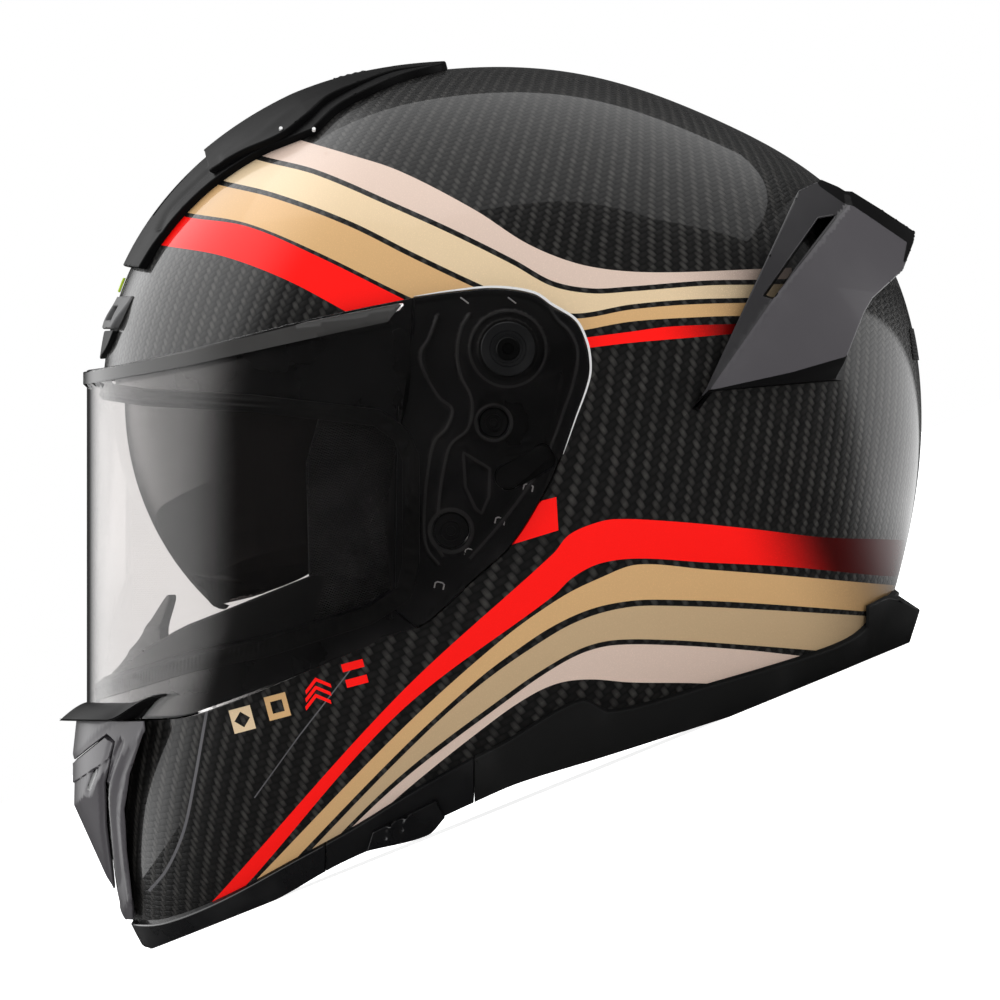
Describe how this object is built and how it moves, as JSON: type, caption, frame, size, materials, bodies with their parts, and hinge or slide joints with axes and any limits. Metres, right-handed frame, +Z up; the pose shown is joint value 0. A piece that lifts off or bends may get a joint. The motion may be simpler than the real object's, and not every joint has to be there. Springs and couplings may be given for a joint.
{
  "type": "full face racing helmet",
  "caption": "Full face racing helmet with a clear hinged visor, an inner smoked sun visor, vents that open, a rear spoiler and a lined carbon shell.",
  "frame": {"origin": "middle of the footprint, on the ground that the rim stands on", "axes": "+Z up, the face looks along -Y, +X towards the wearer's left, symmetric about the plane X = 0"},
  "size_m": [0.2652, 0.3547, 0.2627],
  "materials": {
    "carbon": "clear coated carbon fibre shell with painted racing stripes",
    "foam": "moulded energy absorbing foam",
    "lining": "soft brushed lining",
    "rubber": "matt black rubber",
    "gloss_black": "gloss black plastic",
    "satin_black": "satin black plastic",
    "clear": "clear polycarbonate",
    "smoke": "dark smoke polycarbonate",
    "steel": "brushed stainless steel",
    "grey": "satin grey plastic",
    "green": "yellow green plastic",
    "mesh": "fine dark mesh",
    "webbing": "woven black webbing",
    "red": "red plastic"
  },
  "bodies": {
    "helmet": {"shell": "carbon", "foam_liner": "foam", "chin_foam": "foam", "crown_pad": "lining", "cheek_pad_left": "lining", "cheek_pad_right": "lining", "neck_roll": "lining", "chin_curtain": "lining", "eyeport_gasket": "rubber", "trim_chin": "gloss_black", "trim_left": "gloss_black", "trim_right": "gloss_black", "neck_skirt": "satin_black", "side_plate_left": "satin_black", "side_plate_right": "satin_black", "visor_hub_left": "satin_black", "visor_hub_right": "satin_black", "hub_screws": "steel", "plate_screws": "steel", "sun_visor_pins": "steel", "chin_vent": "gloss_black", "chin_vent_mesh": "mesh", "brow_vent": "grey", "brow_seal": "rubber", "crown_vent": "gloss_black", "crown_vent_mesh": "mesh", "rear_spoiler": "gloss_black", "exhaust_mesh": "mesh", "breath_guard": "rubber", "strap_left": "webbing", "strap_right": "webbing", "strap_rivets": "steel", "buckle_body": "satin_black"},
    "visor": {"visor": "clear", "visor_tab": "gloss_black"},
    "sun_visor": {"sun_visor": "smoke"},
    "sun_visor_lever": {"sun_visor_lever": "gloss_black"},
    "chin_vent_flap": {"chin_vent_flap": "gloss_black"},
    "brow_vent_slider": {"brow_vent_slider": "green"},
    "crown_vent_slider": {"crown_vent_slider": "satin_black"},
    "release_lever_left": {"release_lever_left": "satin_black"},
    "release_lever_right": {"release_lever_right": "satin_black"},
    "buckle_lever": {"buckle_lever": "red"}
  },
  "joints": [
    {"name": "visor_hinge", "type": "hinge", "parent": "helmet", "child": "visor", "pos_m": [0, 0.02764, 0.1496], "axis": [-1, 0, 0], "range_deg": [0, 50]},
    {"name": "sun_visor_hinge", "type": "hinge", "parent": "helmet", "child": "sun_visor", "pos_m": [0, -0.01248, 0.1464], "axis": [-1, 0, 0], "range_deg": [0, 34]},
    {"name": "sun_visor_lever_slide", "type": "slide", "parent": "helmet", "child": "sun_visor_lever", "axis": [0.214, 0.9766, 0.0226], "range_m": [0, 0.012]},
    {"name": "chin_vent_hinge", "type": "hinge", "parent": "helmet", "child": "chin_vent_flap", "pos_m": [0, -0.17501, 0.02655], "axis": [1, 0, 0], "range_deg": [0, 8]},
    {"name": "brow_vent_slide", "type": "slide", "parent": "helmet", "child": "brow_vent_slider", "axis": [0, 0.6988, 0.7153], "range_m": [0, 0.003]},
    {"name": "crown_vent_slide", "type": "slide", "parent": "helmet", "child": "crown_vent_slider", "axis": [0, 0.9878, -0.1556], "range_m": [0, 0.008]},
    {"name": "release_left", "type": "hinge", "parent": "helmet", "child": "release_lever_left", "pos_m": [0.126, 0.01078, 0.10788], "axis": [-1, 0, 0], "range_deg": [0, 12], "stiffness_Nm_per_rad": 0.02},
    {"name": "release_right", "type": "hinge", "parent": "helmet", "child": "release_lever_right", "pos_m": [-0.126, 0.01078, 0.10788], "axis": [-1, 0, 0], "range_deg": [0, 12], "stiffness_Nm_per_rad": 0.02},
    {"name": "buckle_hinge", "type": "hinge", "parent": "helmet", "child": "buckle_lever", "pos_m": [-0.018, -0.04475, 0.01847], "axis": [0, -0.9272, 0.3746], "range_deg": [0, 50], "stiffness_Nm_per_rad": 0.05}
  ],
  "couplings": [
    {"joint": "sun_visor_lever_slide", "follows": "sun_visor_hinge", "m_per_rad": 0.020202}
  ]
}
